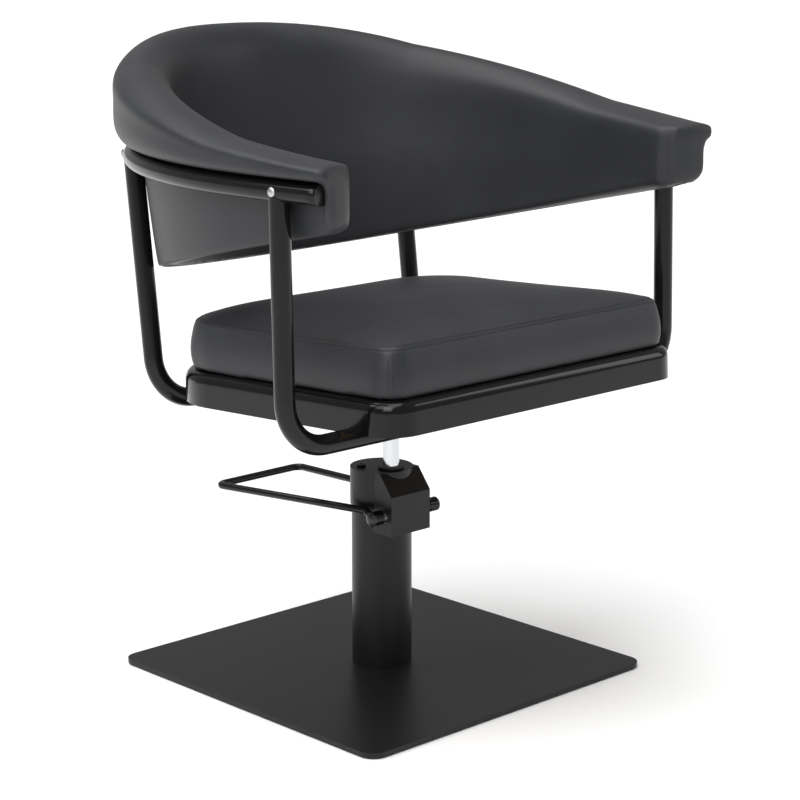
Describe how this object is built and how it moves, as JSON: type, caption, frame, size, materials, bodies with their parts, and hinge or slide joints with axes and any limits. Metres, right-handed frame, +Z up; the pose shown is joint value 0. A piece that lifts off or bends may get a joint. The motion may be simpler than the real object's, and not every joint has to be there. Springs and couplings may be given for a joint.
{
  "type": "styling chair",
  "caption": "Hydraulic salon styling chair: square floor plate, pump column with rear pedal loop, swivelling padded seat in a tubular frame, wrap-around padded back and arms.",
  "frame": {"origin": "on the floor under the swivel axis, on the underside of the rubber sheet", "axes": "+Z up along the swivel axis, -Y the way the sitter faces, +X to the right seen from the front"},
  "size_m": [0.7316, 0.6466, 0.85],
  "materials": {
    "rubber_black": "matt rubber",
    "satin_black_metal": "satin black powder coat",
    "gloss_black_metal": "gloss black enamel on tube",
    "gloss_black_pan": "high gloss black lacquer on pressed steel",
    "chrome_rod": "polished chrome",
    "machined_steel": "machined steel",
    "zinc_steel": "zinc plated",
    "bronze": "sintered bronze",
    "black_plastic": "moulded black plastic",
    "wood": "bare birch plywood and beech",
    "leather_black": "fine-grained black leatherette, satin"
  },
  "bodies": {
    "base": {"floor_mat": "rubber_black", "base_plate": "satin_black_metal", "plate_bolts": "zinc_steel", "foot_ring": "satin_black_metal", "column_cover": "satin_black_metal", "pump_cylinder": "machined_steel", "pump_head": "satin_black_metal", "rod_gland": "satin_black_metal", "filler_plug": "satin_black_metal", "plunger_spring": "machined_steel"},
    "plunger": {"pump_plunger": "machined_steel"},
    "pedal": {"pedal_shaft": "machined_steel", "shaft_collars": "zinc_steel", "shaft_caps": "black_plastic", "pedal_hubs": "gloss_black_metal", "pedal_frame": "gloss_black_metal"},
    "lift": {"piston": "machined_steel", "piston_seals": "rubber_black", "piston_rod": "chrome_rod", "swivel_washer": "zinc_steel", "swivel_screw": "zinc_steel"},
    "seat": {"seat_socket": "satin_black_metal", "swivel_bush": "bronze", "socket_bolts": "zinc_steel", "support_bars": "satin_black_metal", "front_frame": "gloss_black_metal", "rear_frame": "gloss_black_metal", "arm_rail": "gloss_black_metal", "rail_plugs": "black_plastic", "rail_screws": "zinc_steel", "seat_cleats": "wood", "cleat_screws": "zinc_steel", "seat_board": "wood", "seat_pan": "gloss_black_pan", "seat_cushion": "leather_black", "back_shell": "wood", "back_outer_panel": "leather_black", "back_inner_pad": "leather_black", "arm_noses": "leather_black", "back_roll": "leather_black"}
  },
  "joints": [
    {"name": "seat_lift", "type": "slide", "parent": "base", "child": "lift", "axis": [0, 0, 1], "range_m": [-0.06, 0.075]},
    {"name": "seat_swivel", "type": "hinge", "parent": "lift", "child": "seat", "pos_m": [0, 0, 0.36], "axis": [0, 0, 1], "continuous": true},
    {"name": "pedal_press", "type": "hinge", "parent": "base", "child": "pedal", "pos_m": [0, -0.024, 0.223], "axis": [1, 0, 0], "range_deg": [-18, 0], "stiffness_Nm_per_rad": 12, "springref_deg": 22.92},
    {"name": "plunger_stroke", "type": "slide", "parent": "base", "child": "plunger", "axis": [0, 0, 1], "range_m": [-0.002, 0], "deforming": ["plunger_spring"]}
  ],
  "couplings": [
    {"joint": "plunger_stroke", "follows": "pedal_press", "m_per_rad": 0.006}
  ]
}
